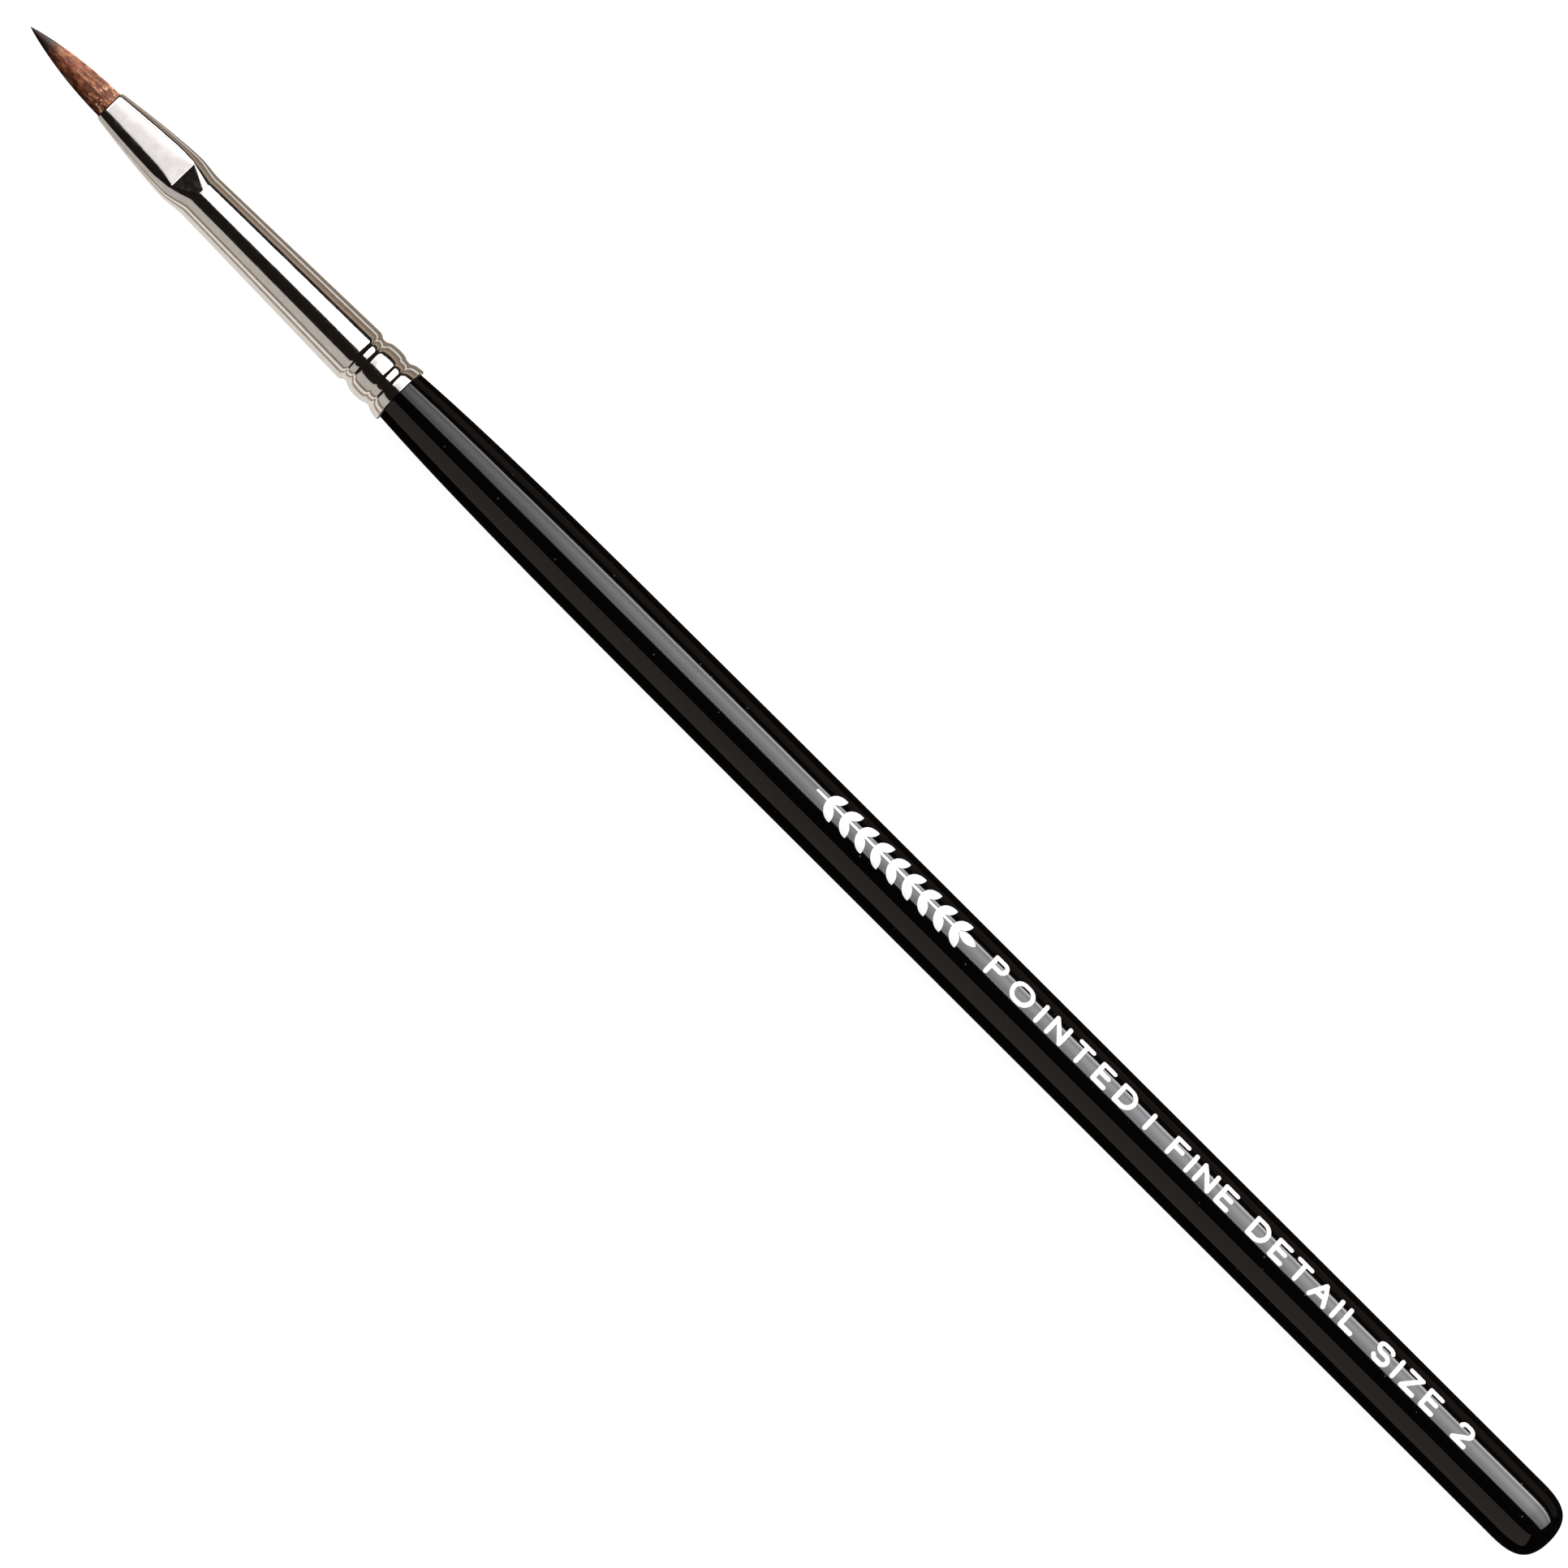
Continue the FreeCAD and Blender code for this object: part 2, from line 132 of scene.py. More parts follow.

# Camera and light
TABLE_HALF = 3.0                # metres
TABLE_GLOW = 0.955
CAMERA_LEAN = 10.0              # degrees from straight above, towards -Y
CAMERA_ROLL = 44.92             # degrees that the brush runs down to the right in the picture
BRUSH_SHARE = 1.3678            # length of the brush over the width of the picture
PICTURE_SHIFT = (0.0036, 0.0002)  # middle of the brush from the middle of the picture, in widths
LENS = 150.0
SENSOR = 36.0
PANEL_DISTANCE = 0.60           # metres, as are the panels' reaches along the brush
KEY_ANGLES = (9.5, 64.0)        # degrees round the brush from the camera, positive towards +Y
KEY_REACH = (-0.42, 0.25)
KEY_FRONT_REACH = (-0.66, -0.42)  # the key's dim front end, for the metal
KEY_FRONT_SHARE = 0.2
KEY_END_REACH = (0.25, 0.80)    # and its rear end, for the paint
KEY_END_SHARE = 0.72
KEY_END_ALONG = [(0, 1.0), (1, 0.6)]
KEY_BRIGHTNESS = 8.0
KEY_COLOR = (1.0, 0.98, 1.01)
KEY_ALONG = [                   # (share of its length, brightness)
    (0.0, 0.20),
    (0.28, 0.20),
    (0.42, 0.36),
    (0.50, 0.42),
    (0.61, 0.72),
    (0.75, 1.0),
    (0.88, 0.92),
    (1.0, 0.75),
]
KEY_ACROSS = [
    (0.0, 0.62),
    (0.22, 0.66),
    (0.48, 0.95),
    (0.62, 1.0),
    (0.76, 0.72),
    (0.84, 0.80),
    (0.88, 1.5),
    (1.0, 1.5),
]
STRIP_REACH = (-0.68, 0.60)
WARM_GREY = (1.0, 0.95, 0.90)
BROWN = (1.0, 0.78, 0.62)
METAL_STRIPS = [                # (from angle, to angle, brightness, colour)
    (80, 94, 0.40, BROWN),
    (95, 108, 0.26, BROWN),
    (110, 126, 0.80, WARM_GREY),
    (131, 178, 0.30, BROWN),
    (-78, -42, 0.56, WARM_GREY),
    (-86, -79, 0.30, BROWN),
    (-104, -88, 0.95, WARM_GREY),
    (-114, -106, 0.45, BROWN),
    (-165, -116, 0.85, WARM_GREY),
]
PAINT_STRIPS = [
    (-92, -33, 0.42, (1.12, 0.93, 0.84)),
    (81, 112, 0.14, BROWN),
]
HAIR_PANEL = ((64, 104), (-0.35, 0.25), 8.5, (1.0, 0.92, 0.80))  # angles, reach, brightness, colour
ROOM_IN_REFLECTIONS = (0.012, 0.010, 0.008)
ROOM_LIGHT = (0.16, 0.15, 0.14)
ROOM_SEEN = (1.0, 1.0, 1.0)


def smooth_step(value):
    value = min(max(value, 0.0), 1.0)
    return value * value * (3 - 2 * value)


def soft_min(a, b, rounding):
    """The lesser of two arrays or numbers, rounded where they cross."""
    closeness = np.maximum(rounding - np.abs(a - b), 0) / rounding
    return np.minimum(a, b) - closeness ** 2 * rounding / 4


def hermite(share, start, end, start_slope, end_slope):
    """A cubic from start to end; the slopes are per unit of share."""
    s2 = share * share
    s3 = s2 * share
    value = (2 * s3 - 3 * s2 + 1) * start + (3 * s2 - 2 * s3) * end
    return value + (s3 - 2 * s2 + share) * start_slope + (s3 - s2) * end_slope


def through(points, at):
    """A smooth curve through (station, value) points, read at one station."""
    stations = [point[0] for point in points]
    values = [point[1] for point in points]
    slopes = []
    for i in range(len(points)):
        before, after = max(i - 1, 0), min(i + 1, len(points) - 1)
        slopes.append((values[after] - values[before]) / (stations[after] - stations[before]))
    i = min(max(int(np.searchsorted(stations, at)) - 1, 0), len(points) - 2)
    span = stations[i + 1] - stations[i]
    share = (at - stations[i]) / span
    return hermite(share, values[i], values[i + 1], slopes[i] * span, slopes[i + 1] * span)


def to_metres(points):
    """Points of (station, across, up) in millimetres, in the frame's own axes."""
    points = np.asarray(points, float) * MM
    points[:, 0] += TIP_X
    points[:, 2] += AXIS_Z
    return points


def new_piece(name, points, faces, material):
    """A smooth-shaded piece from points in millimetres."""
    mesh = bpy.data.meshes.new(name)
    mesh.from_pydata([tuple(p) for p in to_metres(points)], [], faces)
    mesh.validate()
    mesh.polygons.foreach_set("use_smooth", [True] * len(mesh.polygons))
    mesh.update()
    piece = bpy.data.objects.new(name, mesh)
    bpy.context.scene.collection.objects.link(piece)
    mesh.materials.append(material)
    return piece


def ring_faces(rings, segments, closed):
    """Quads between rings of points; closed also joins the last ring to the first."""
    faces = []
    for ring in range(rings if closed else rings - 1):
        here = ring * segments
        ahead = (ring + 1) % rings * segments
        for i in range(segments):
            j = (i + 1) % segments
            faces.append((here + i, here + j, ahead + j, ahead + i))
    return faces


# ---------------------------------------------------------------- materials

class Nodes:
    """A short way to write a material's nodes."""

    def __init__(self, name):
        self.material = bpy.data.materials.new(name)
        self.material.use_nodes = True
        self.tree = self.material.node_tree
        self.shader = self.tree.nodes["Principled BSDF"]

    def add(self, kind, **inputs):
        node = self.tree.nodes.new(kind)
        for key, value in inputs.items():
            target = key.replace("_", " ")
            if target in node.inputs:
                node.inputs[target].default_value = value
            else:
                setattr(node, key, value)
        return node

    def link(self, source, target):
        self.tree.links.new(source, target)

    def place(self, stretch=(1, 1, 1)):
        """Object coordinates in millimetres, scaled along each axis."""
        coordinates = self.add("ShaderNodeTexCoord")
        mapping = self.add("ShaderNodeMapping")
        mapping.inputs["Scale"].default_value = [s / MM for s in stretch]
        self.link(coordinates.outputs["Object"], mapping.inputs["Vector"])
        return mapping.outputs["Vector"]

    def noise(self, vector, scale, detail=3.0, roughness=0.5):
        node = self.add("ShaderNodeTexNoise", Scale=scale, Detail=detail, Roughness=roughness)
        self.link(vector, node.inputs["Vector"])
        return node.outputs["Fac"]

    def cells(self, vector, scale):
        node = self.add("ShaderNodeTexVoronoi", Scale=scale)
        self.link(vector, node.inputs["Vector"])
        return node.outputs["Distance"]

    def remap(self, value, low, high, to_low, to_high):
        node = self.add("ShaderNodeMapRange", From_Min=low, From_Max=high, To_Min=to_low, To_Max=to_high)
        self.link(value, node.inputs["Value"])
        return node.outputs["Result"]

    def ramp(self, value, stops):
        node = self.add("ShaderNodeValToRGB")
        elements = node.color_ramp.elements
        while len(elements) < len(stops):
            elements.new(0.5)
        for element, (position, color) in zip(elements, stops):
            element.position = position
            element.color = (*color, 1)
        self.link(value, node.inputs["Fac"])
        return node.outputs["Color"]

    def mix(self, share, first, second):
        node = self.add("ShaderNodeMix", data_type="RGBA")
        for socket, value in ((node.inputs[0], share), (node.inputs[6], first), (node.inputs[7], second)):
            if isinstance(value, bpy.types.NodeSocket):
                self.link(value, socket)
            else:
                socket.default_value = value if isinstance(value, float) else (*value, 1)
        return node.outputs[2]

    def math(self, operation, first, second):
        node = self.add("ShaderNodeMath", operation=operation)
        for socket, value in zip(node.inputs, (first, second)):
            if isinstance(value, bpy.types.NodeSocket):
                self.link(value, socket)
            else:
                socket.default_value = value
        return node.outputs[0]

    def bump(self, height, strength, distance_mm, normal=None):
        node = self.add("ShaderNodeBump", Strength=strength, Distance=distance_mm * MM)
        self.link(height, node.inputs["Height"])
        if normal is not None:
            self.link(normal, node.inputs["Normal"])
        return node.outputs["Normal"]

    def set(self, **values):
        for key, value in values.items():
            socket = self.shader.inputs[key.replace("_", " ")]
            if isinstance(value, bpy.types.NodeSocket):
                self.link(value, socket)
            elif socket.type == "RGBA":
                socket.default_value = (*value, 1)
            else:
                socket.default_value = value
        return self.material


def nickel():
    """Polished nickel plate: faint drawing lines along the tube, soft dents, a little haze."""
    n = Nodes("nickel_plate")
    drawn = n.noise(n.place((0.08, 1.0, 1.0)), 9.0, 4.0, 0.6)
    dents = n.noise(n.place(), 0.55, 2.0, 0.4)
    haze = n.noise(n.place(), 1.6, 4.0, 0.6)
    tint = n.ramp(haze, [(0.30, (0.70, 0.67, 0.63)), (0.75, (0.80, 0.78, 0.75))])
    relief = n.bump(dents, 0.18, 0.05)
    relief = n.bump(drawn, 0.10, 0.010, relief)
    rough = n.remap(haze, 0.25, 0.80, 0.05, 0.13)
    return n.set(Base_Color=tint, Metallic=1.0, Roughness=rough, Normal=relief)


def lacquer():
    """Gloss black paint: slight flow waviness, rare dust nibs, hairline rubbing marks."""
    n = Nodes("black_lacquer")
    flow = n.noise(n.place((0.12, 1.0, 1.0)), 0.8, 2.0, 0.4)
    nibs = n.remap(n.cells(n.place(), 0.9), 0.045, 0.065, 1.0, 0.0)
    rubbing = n.noise(n.place((0.05, 1.0, 1.0)), 14.0, 3.0, 0.6)
    tint = n.mix(nibs, (0.0008, 0.0007, 0.0008), (0.035, 0.033, 0.033))
    relief = n.bump(flow, 0.25, 0.03)
    relief = n.bump(nibs, 0.35, 0.03, relief)
    rough = n.remap(rubbing, 0.35, 0.75, 0.045, 0.11)
    return n.set(Base_Color=tint, Roughness=rough, Normal=relief)


def foil():
    """White stamped foil: dense but not quite even, with worn specks."""
    n = Nodes("white_foil")
    cover = n.noise(n.place(), 3.5, 4.0, 0.65)
    tint = n.ramp(cover, [
        (0.24, (0.60, 0.58, 0.60)),
        (0.34, (0.88, 0.87, 0.88)),
        (0.80, (0.95, 0.94, 0.95)),
    ])
    relief = n.bump(n.noise(n.place(), 9.0), 0.2, 0.01)
    return n.set(Base_Color=tint, Roughness=n.remap(cover, 0.2, 0.8, 0.42, 0.30), Normal=relief)


def hair():
    """Red-brown hair: each strand its own tone, darker towards the points, glossy along its length, with
    painted shade in dark specks and painted glints near the mouth.
    """
    n = Nodes("sable_hair")
    tone = n.add("ShaderNodeAttribute", attribute_name="tone")
    reach = n.add("ShaderNodeAttribute", attribute_name="reach")
    streak = n.noise(n.place((0.25, 1.0, 1.0)), 6.0, 3.0, 0.6)
    clumps = n.noise(n.place((0.40, 1.0, 1.0)), 3.6, 2.0, 0.5)
    own_tone = n.math("MULTIPLY", tone.outputs["Fac"], 0.5)
    mixed = n.math("ADD", own_tone, n.remap(clumps, 0.36, 0.64, 0.0, 0.5))
    strand = n.ramp(mixed, [
        (0.10, (0.030, 0.008, 0.004)),
        (0.35, (0.140, 0.037, 0.014)),
        (0.60, (0.270, 0.082, 0.033)),
        (0.90, (0.540, 0.250, 0.120)),
    ])
    root = n.mix(n.remap(streak, 0.40, 0.70, 0.0, 0.7), strand, (0.10, 0.026, 0.011))
    # painted shade: where this noise is low the hair turns near black, as the shade in the gaps between
    # strands; its high spots make the painted glints below
    flecks = n.noise(n.place((0.8, 1.0, 1.0)), 4.2, 2.0, 0.5)
    root = n.mix(n.remap(flecks, 0.40, 0.33, 0.0, 0.85), root, (0.030, 0.010, 0.006))
    # painted highlight: warm bright spots near the mouth, glints painted into the hair's colour
    near_mouth = n.remap(reach.outputs["Fac"], 0.72, 0.92, 0.0, 1.0)
    painted_glints = n.math("MULTIPLY", n.remap(flecks, 0.61, 0.68, 0.0, 0.8), near_mouth)
    root = n.mix(painted_glints, root, (0.95, 0.72, 0.48))
    fade = n.math("ADD", reach.outputs["Fac"], n.math("MULTIPLY", streak, 0.30))
    dark = n.remap(fade, 0.36, 0.56, 1.0, 0.0)
    tint = n.mix(dark, root, (0.022, 0.011, 0.008))
    relief = n.bump(n.noise(n.place((0.15, 1.0, 1.0)), 30.0, 2.0), 0.3, 0.01)
    rough = n.remap(clumps, 0.3, 0.7, 0.50, 0.36)
    return n.set(Base_Color=tint, Roughness=rough, Normal=relief, Specular_IOR_Level=0.38)


def bare_wood():
    """Turned beech: fine grain along the handle with short dark flecks."""
    n = Nodes("bare_wood")
    grain = n.noise(n.place((0.05, 1.0, 1.0)), 3.0, 5.0, 0.6)
    flecks = n.remap(n.cells(n.place((0.15, 1.0, 1.0)), 2.2), 0.0, 0.12, 1.0, 0.0)
    tint = n.ramp(grain, [(0.3, (0.46, 0.29, 0.16)), (0.7, (0.72, 0.52, 0.33))])
    tint = n.mix(n.remap(flecks, 0.0, 1.0, 0.0, 0.5), tint, (0.28, 0.15, 0.08))
    rough = n.remap(grain, 0.2, 0.8, 0.5, 0.7)
    return n.set(Base_Color=tint, Roughness=rough, Normal=n.bump(grain, 0.4, 0.05))


def resin(name, thin, thick, rough):
    """Set glue or cement: clouded, with small bubbles."""
    n = Nodes(name)
    cloud = n.noise(n.place(), 1.4, 4.0, 0.6)
    bubbles = n.remap(n.cells(n.place(), 3.0), 0.0, 0.15, 1.0, 0.0)
    tint = n.ramp(cloud, [(0.3, thin), (0.7, thick)])
    cloudy = n.remap(cloud, 0.2, 0.8, rough, rough + 0.15)
    return n.set(Base_Color=tint, Roughness=cloudy, Normal=n.bump(bubbles, 0.3, 0.03))


def thread():
    """Twisted waxed thread: slanting plies over the turns."""
    n = Nodes("binding_thread")
    plies = n.add("ShaderNodeTexWave", wave_type="BANDS", bands_direction="DIAGONAL")
    plies.inputs["Scale"].default_value = 2.2
    plies.inputs["Distortion"].default_value = 1.0
    n.link(n.place(), plies.inputs["Vector"])
    tint = n.ramp(plies.outputs["Fac"], [(0.2, (0.50, 0.45, 0.36)), (0.7, (0.80, 0.76, 0.66))])
    return n.set(Base_Color=tint, Roughness=0.6, Normal=n.bump(plies.outputs["Fac"], 0.6, 0.03))


# ---------------------------------------------------------------- ferrule

def pinched_size(station):
    """Half width, half height before the pinch, and the height at which the flats cut it off."""
    ahead = (FLAT_END - station) / (FLAT_END - MOUTH_AT)
    width = WIDEST - (WIDEST - MOUTH_WIDTH) * ahead ** FLARE_SHAPE
    flat = FLAT_WIDTH - (FLAT_WIDTH - MOUTH_FLAT) * ahead
    top = (FLAT_THICKNESS - (FLAT_THICKNESS - MOUTH_THICKNESS) * ahead) / 2
    return width / 2, top / math.sqrt(1 - (flat / width) ** 2), top


def ramp_section(along):
    """Places across and heights over a quarter of a section of the ramps, in order of the turning normal.

    The ramps are stretched like a skin from the rear end of the flats to the tube: each place on one
    section is joined to the place on the other that faces the same way.
    """
    half_width, half_height, top = pinched_size(FLAT_END)
    sine, cosine = np.sin(QUARTER), np.cos(QUARTER)
    length = np.hypot(half_width * sine, half_height * cosine)
    across = np.maximum(half_width ** 2 * sine / length, FLAT_WIDTH / 2)
    up = np.minimum(half_height ** 2 * cosine / length, top)
    across = (1 - along) * across + along * TUBE_FRONT_RADIUS * sine
    up = (1 - along) * up + along * TUBE_FRONT_RADIUS * cosine
    return across, up


def ferrule_ring(station, inset):
    """One ring of points round the ferrule at a station, inset from its outside."""
    turns = np.arange(FERRULE_SEGMENTS) / FERRULE_SEGMENTS * 2 * math.pi
    cosine, sine = np.cos(turns), np.sin(turns)
    if station <= FLAT_END:
        half_width, half_height, top = pinched_size(station)
        across = (half_width - inset) * cosine
        height = (half_height - inset) * np.abs(sine)
        sharpened = smooth_step((station - FLAT_END + EDGE_RUN) / EDGE_RUN)
        rounding = FLAT_ROUNDING + (REAR_ROUNDING - FLAT_ROUNDING) * sharpened
        up = np.sign(sine) * soft_min(height, top - inset, rounding)
    elif station < RAMP_END:
        along = (station - FLAT_END) / (RAMP_END - FLAT_END)
        half_width = WIDEST / 2 + (TUBE_FRONT_RADIUS - WIDEST / 2) * smooth_step(along)
        across = (half_width - inset) * cosine
        section_across, section_up = ramp_section(along)
        height = np.interp(section_across[-1] * np.abs(cosine), section_across, section_up)
        up = np.sign(sine) * height * (1 - inset / section_up[0])
    else:
        radius = tube_radius(station) - inset
        across, up = radius * cosine, radius * sine
    return np.stack([np.full_like(across, station), across, up], axis=1)


def tube_radius(station):
    if station < CRIMPS[0][0]:
        along = (station - RAMP_END) / (CRIMPS[0][0] - RAMP_END)
        return TUBE_FRONT_RADIUS + (CRIMPS[0][1] - TUBE_FRONT_RADIUS) * along
    lead = CRIMPS[0][0] - 1.0
    return through([(lead, tube_radius(lead))] + CRIMPS, station)


def ferrule_stations():
    """Where the ferrule's rings lie: close together at the ramps and the crimps."""
    stations = list(np.linspace(MOUTH_AT, FLAT_END - 0.1, 34))
    stations += list(np.linspace(FLAT_END - 0.05, RAMP_END + 1.0, 48))
    stations += list(np.linspace(RAMP_END + 1.3, CRIMPS[0][0] - 0.2, 26))
    stations += list(np.linspace(CRIMPS[0][0], LIP_END, 90))
    return stations


def make_ferrule(material):
    """The whole tube as one closed wall: outside, rolled rear rim, inside, mouth edge."""
    first, last = MOUTH_AT + MOUTH_BURNISH, LIP_END - WALL / 2
    between = [station for station in ferrule_stations() if first < station < last]
    rings = rounded_edge(MOUTH_AT, MOUTH_BURNISH)[::-1]
    rings += [ferrule_ring(station, 0) for station in between]
    rings += rounded_edge(LIP_END, -WALL / 2)
    rings += [ferrule_ring(station, WALL) for station in between[::-2]]
    points = np.concatenate(rings)
    faces = ring_faces(len(rings), FERRULE_SEGMENTS, True)
    ferrule = new_piece("ferrule_tube", points, faces, material)
    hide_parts("ferrule")
    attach(ferrule, "root")
    return ferrule


def rounded_edge(station, reach):
    """Rings over an end of the wall, from the outside to the inside, rounded over a signed reach."""
    rings = []
    for turn in np.linspace(0, math.pi, 9):
        inset = WALL / 2 * (1 - math.cos(turn))
        rings.append(ferrule_ring(station + reach * (1 - math.sin(turn)), inset))
    return rings


# ---------------------------------------------------------------- handle

def coat_profile(front_inset, rear_inset):
    """(station, radius) from the front of the coat to the middle of the handle's end."""
    side_end = LENGTH - END_LENGTH
    profile = []
    for station in np.linspace(0, 1, 60) ** 1.5 * (PARALLEL_FROM - COAT_FRONT) + COAT_FRONT:
        shrink = (HANDLE_RADIUS - NECK_RADIUS) * math.exp((LIP_END - station) / NECK_LENGTH)
        still = (PARALLEL_FROM - station) / (PARALLEL_FROM - COAT_FRONT)
        settle = smooth_step(1 - still / NECK_SETTLES)
        profile.append((station, HANDLE_RADIUS - shrink * (1 - settle) - front_inset))
    for share in np.linspace(0, 1, 26)[1:-1]:
        station = PARALLEL_FROM + (side_end - PARALLEL_FROM) * share
        profile.append((station, HANDLE_RADIUS - front_inset + (front_inset - rear_inset) * share))
    radius = HANDLE_RADIUS - rear_inset
    end = LENGTH - rear_inset
    stays_flat, joins_side = END_ROUNDNESS
    poles = np.array([(side_end, radius), (end - joins_side, radius), (end, stays_flat), (end, 0)])
    for t in np.linspace(0, 1, 40):
        weights = np.array([(1 - t) ** 3, 3 * t * (1 - t) ** 2, 3 * t * t * (1 - t), t ** 3])
        profile.append(tuple(weights @ poles))
    return profile


def make_coat(material):
    """The paint as a thin closed shell over the wood, open at the ferrule."""
    outside = coat_profile(0, 0)
    inside = coat_profile(COAT, COAT_REAR)
    rings = inside[:-1][::-1] + outside[:-1]
    turns = np.arange(COAT_SEGMENTS) / COAT_SEGMENTS * 2 * math.pi
    points = []
    for station, radius in rings:
        points += [(station, radius * math.cos(turn), radius * math.sin(turn)) for turn in turns]
    faces = ring_faces(len(rings), COAT_SEGMENTS, False)
    inner_pole, outer_pole = len(points), len(points) + 1
    points += [(inside[-1][0], 0, 0), (outside[-1][0], 0, 0)]
    last = (len(rings) - 1) * COAT_SEGMENTS
    for i in range(COAT_SEGMENTS):
        j = (i + 1) % COAT_SEGMENTS
        faces.append((inner_pole, j, i))
        faces.append((last + i, last + j, outer_pole))
    coat = new_piece("handle_coat", points, faces, material)
    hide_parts("handle_lacquer")
    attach(coat, "root")
    return coat


# ---------------------------------------------------------------- hair

def tuft_size(station):
    """Half width and half thickness of the tuft; both reach nothing at the tip."""
    share = min(max(station / MOUTH_AT, 0.0), 1.0)
    half_width = TUFT_HALF_WIDTH * math.sin(math.pi / 2 * share) ** TUFT_SHAPE
    rise = math.sin(math.pi / 2 * min(share / TUFT_FULLEST, 1.0)) ** TUFT_SHAPE
    squeeze = TUFT_SQUEEZE * smooth_step((share - TUFT_FULLEST) / (1 - TUFT_FULLEST))
    return half_width, TUFT_HALF_THICKNESS * rise * (1 - squeeze)


def strand_rings(stations, strand):
    """A thin tube along one strand: points as (station, across, up), and how the light takes each."""
    rings, normals = [], []
    for station in stations:
        half_width, half_thickness = tuft_size(station)
        away = 1 - station / HAIR_START
        turn = strand["turn"] + strand["drift"] * away + strand["wave"] * away * math.sin(
            strand["phase"] + station * strand["pitch"])
        depth = strand["depth"] * (1 + strand["lift"] * away)
        across = half_width * depth * math.cos(turn)
        up = half_thickness * depth * math.sin(turn)
        taper = min(max((station - strand["end"]) / strand["fine"], 0.0), 1.0)
        radius = strand["radius"] * (STRAND_POINT + (1 - STRAND_POINT) * taper ** 0.7)
        for side in range(STRAND_SIDES):
            around = side / STRAND_SIDES * 2 * math.pi + strand["phase"]
            rings.append((station, across + radius * math.cos(around), up + radius * math.sin(around)))
            normals.append(tuft_normal(turn, around, strand["own_light"]))
    return rings, normals


def tuft_normal(turn, around, own):
    """A mix of a round tuft's normal at one turn and a strand's own normal."""
    normal = Vector((-0.12, math.cos(turn), math.sin(turn))) * (1 - own)
    normal += Vector((0, math.cos(around), math.sin(around))) * own
    return normal.normalized()


def random_strands():
    """The strands' own shapes. Most lie in the outer layers, where they show."""
    draw = random.Random(7)
    strands = []
    for _ in range(STRANDS):
        outer = draw.random() < 0.72
        turn = draw.uniform(0, 2 * math.pi)
        # more strands on the broad faces than at the narrow edges, as the section is wide and flat
        turn += 0.36 * math.sin(2 * turn)
        strands.append({
            "turn": turn,
            "depth": draw.uniform(0.90, 0.985) if outer else draw.uniform(0.35, 0.90),
            "drift": draw.gauss(0, 0.05),
            "wave": draw.uniform(0.01, 0.07),
            "phase": draw.uniform(0, 2 * math.pi),
            "pitch": draw.uniform(0.6, 1.5),
            "lift": draw.gauss(0, 0.02) if draw.random() < 0.93 else draw.uniform(0.03, 0.09),
            "end": 3.2 * draw.random() ** 2.1,
            "fine": draw.uniform(1.6, 3.0),
            "radius": STRAND_RADIUS * draw.uniform(0.75, 1.25),
            "own_light": draw.uniform(0.10, 0.30),
            "tone": min(max(draw.gauss(0.5, 0.28), 0.0), 1.0),
        })
    return strands


def strand_stations(strand, low, high):
    """Stations of one strand between two limits, evenly spaced."""
    start = max(low, strand["end"])
    count = max(4, int((high - start) / STRAND_STEP))
    return list(np.linspace(start, high, count))


def tuft_piece(name, low, high, strands, material):
    """The strands between two stations, over an inner body that closes the gaps; its dark colour is
    painted shade.
    """
    points, normals, faces, tones = [], [], [], []

    def add_tube(rings, ring_normals, sides, tone):
        base = len(points)
        points.extend(rings)
        normals.extend(ring_normals)
        tones.extend([tone] * len(rings))
        for face in ring_faces(len(rings) // sides, sides, False):
            faces.append(tuple(base + i for i in face))

    for strand in strands:
        if strand["end"] < high - 0.3:
            rings, ring_normals = strand_rings(strand_stations(strand, low, high), strand)
            add_tube(rings, ring_normals, STRAND_SIDES, strand["tone"])
    body, body_normals = [], []
    for station in np.linspace(max(low, BODY_FROM), high, 24):
        half_width, half_thickness = tuft_size(station)
        for side in range(BODY_SIDES):
            turn = side / BODY_SIDES * 2 * math.pi
            across = BODY_SIZE * half_width * math.cos(turn)
            up = BODY_SIZE * half_thickness * math.sin(turn)
            body.append((station, across, up))
            body_normals.append(tuft_normal(turn, turn, 0))
    # tone 0 gives the body the darker hair colours: painted shade deep between the strands
    add_tube(body, body_normals, BODY_SIDES, 0.0)

    piece = new_piece(name, points, faces, material)
    piece.data.normals_split_custom_set_from_vertices(normals)
    tone = piece.data.attributes.new("tone", "FLOAT", "POINT")
    tone.data.foreach_set("value", tones)
    reach = piece.data.attributes.new("reach", "FLOAT", "POINT")
    reach.data.foreach_set("value", [point[0] / MOUTH_AT for point in points])
    return piece


def frame_point(station):
    return tuple(to_metres([(station, 0, 0)])[0])


def make_tuft(material):
    strands = random_strands()
    rear = tuft_piece("tuft_hair_rear", HAIR_SPLIT, HAIR_START, strands, material)
    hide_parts("tuft_belly")
    behind, before = MOUTH_BLEND
    frame_point(MOUTH_AT + behind)
    frame_point(MOUTH_AT - before)
    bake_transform(rear)
    front = tuft_piece("tuft_hair_front", 0.0, HAIR_SPLIT, strands, material)
    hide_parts("tuft_tip")
    frame_point(HAIR_SPLIT)
    frame_point(2 * TIP_JOINT_AT - HAIR_SPLIT)
    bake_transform(front)
    return rear, front


# ---------------------------------------------------------------- studio

